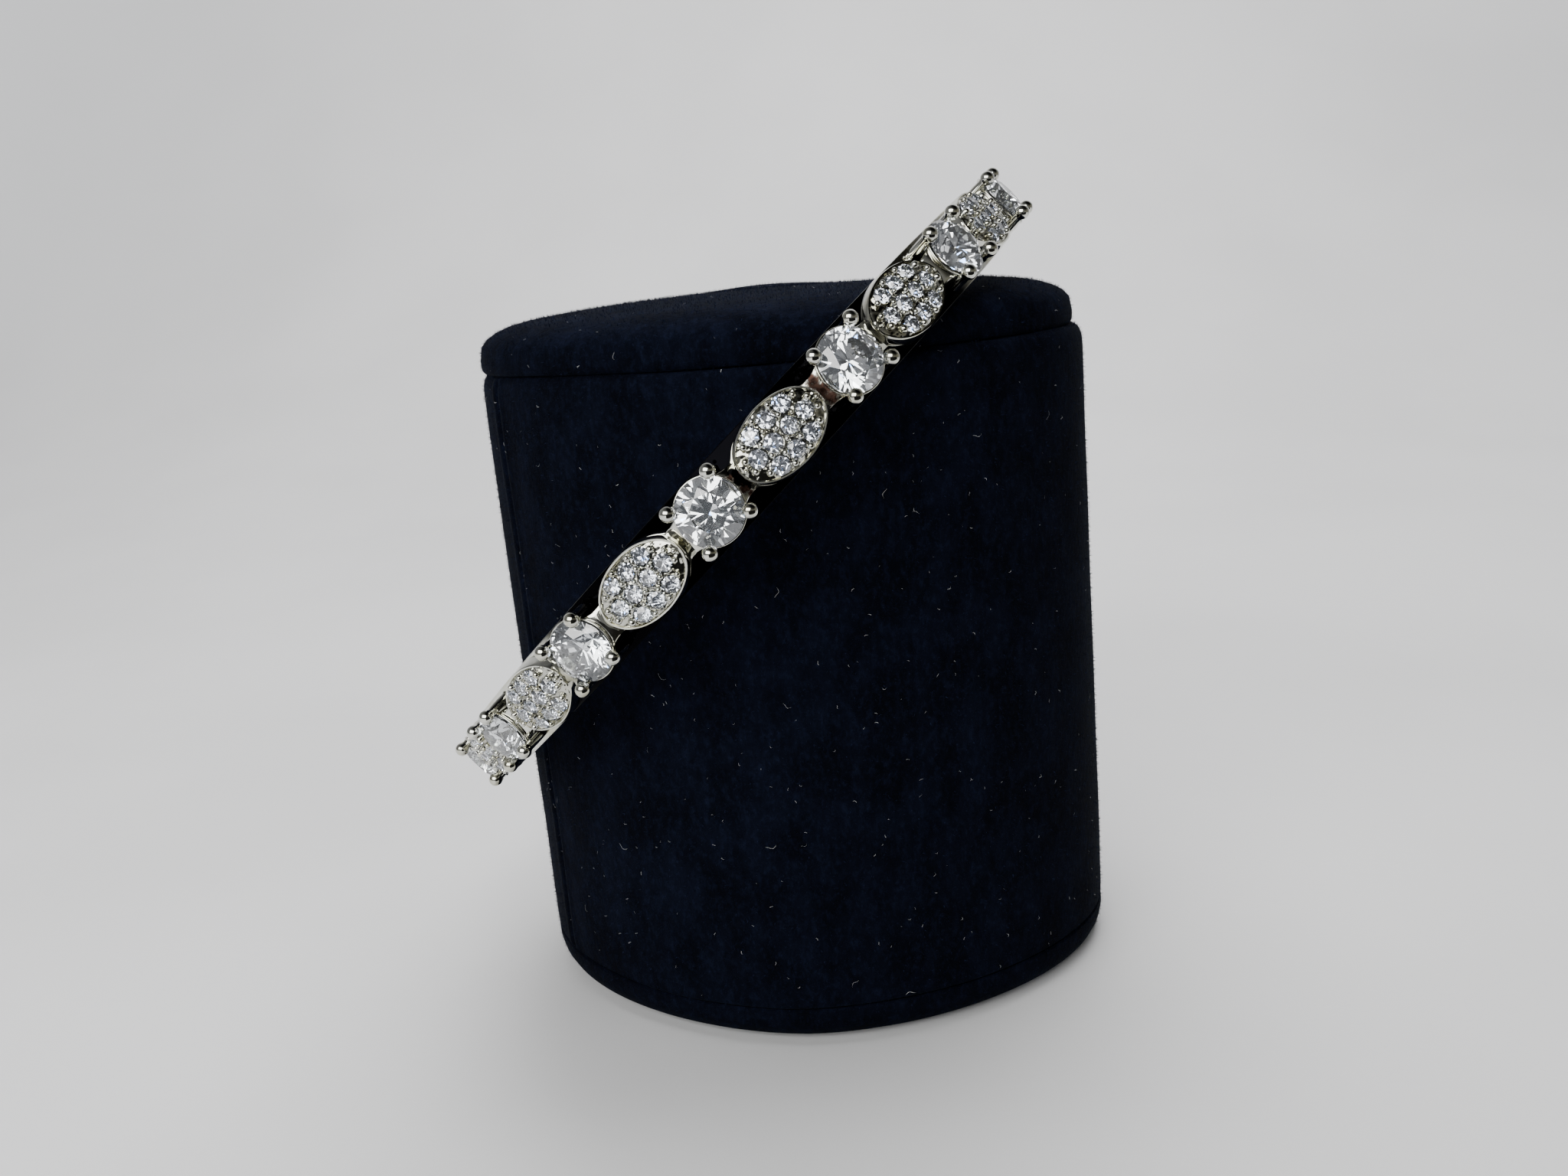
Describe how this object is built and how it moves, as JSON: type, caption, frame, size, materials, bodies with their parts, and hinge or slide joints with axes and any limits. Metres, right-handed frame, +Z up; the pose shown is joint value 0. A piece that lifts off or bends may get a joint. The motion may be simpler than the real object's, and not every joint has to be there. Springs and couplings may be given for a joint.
{
  "type": "bangle on display stand",
  "caption": "Rigid slip-on bangle set with round stones and pave ovals, resting askew on a padded velvet display stand.",
  "frame": {"origin": "middle of the stand's underside, on the surface it stands on", "axes": "+Z up, the side that the bangle's front faces is -Y, +X to that viewer's right; the bangle's high side is towards +X"},
  "size_m": [0.0601, 0.0727, 0.0701],
  "materials": {
    "plated_metal": "bright polished plating",
    "clear_stone": "faceted, colourless",
    "velvet": "short black pile"
  },
  "bodies": {
    "root": {"bangle_frame": "plated_metal", "round_stone_01": "clear_stone", "round_stone_02": "clear_stone", "round_stone_03": "clear_stone", "round_stone_04": "clear_stone", "round_stone_05": "clear_stone", "round_stone_06": "clear_stone", "round_stone_07": "clear_stone", "round_stone_08": "clear_stone", "round_stone_09": "clear_stone", "round_stone_10": "clear_stone", "round_stone_11": "clear_stone", "round_stone_12": "clear_stone", "round_stone_13": "clear_stone", "round_stone_14": "clear_stone", "round_stone_15": "clear_stone", "stand_base": "velvet", "stand_column": "velvet", "stand_top_pad": "velvet"}
  },
  "joints": []
}
